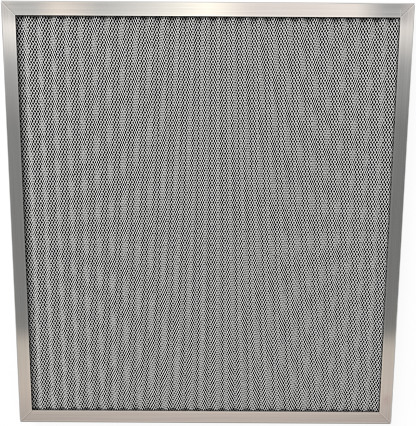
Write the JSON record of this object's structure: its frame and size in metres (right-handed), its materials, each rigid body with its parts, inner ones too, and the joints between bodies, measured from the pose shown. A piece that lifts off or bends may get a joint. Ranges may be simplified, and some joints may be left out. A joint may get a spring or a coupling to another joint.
{
  "type": "electrostatic air filter",
  "caption": "Washable electrostatic air filter panel: a flat mitred aluminium frame round corrugated expanded-metal faces, static-charging nets and a foam core.",
  "frame": {"origin": "middle of the rear face, in the plane on which the panel lies", "axes": "+X to the right and +Y up as pictured, +Z through the thickness towards the front face"},
  "size_m": [0.5048, 0.5462, 0.0222],
  "materials": {
    "frame_aluminium": "brushed mill finish",
    "key_aluminium": "plain mill finish",
    "mesh_aluminium": "bright expanded sheet",
    "honeycomb_net": "woven polypropylene monofilament",
    "fine_net": "fine woven polypropylene",
    "foam": "open-cell foam"
  },
  "bodies": {
    "root": {"top_rail": "frame_aluminium", "bottom_rail": "frame_aluminium", "left_rail": "frame_aluminium", "right_rail": "frame_aluminium", "bottom_left_key": "key_aluminium", "bottom_right_key": "key_aluminium", "top_right_key": "key_aluminium", "top_left_key": "key_aluminium", "front_mesh": "mesh_aluminium", "rear_mesh": "mesh_aluminium", "front_honeycomb_net": "honeycomb_net", "rear_honeycomb_net": "honeycomb_net", "front_fine_net": "fine_net", "rear_fine_net": "fine_net", "foam_core": "foam"}
  },
  "joints": []
}
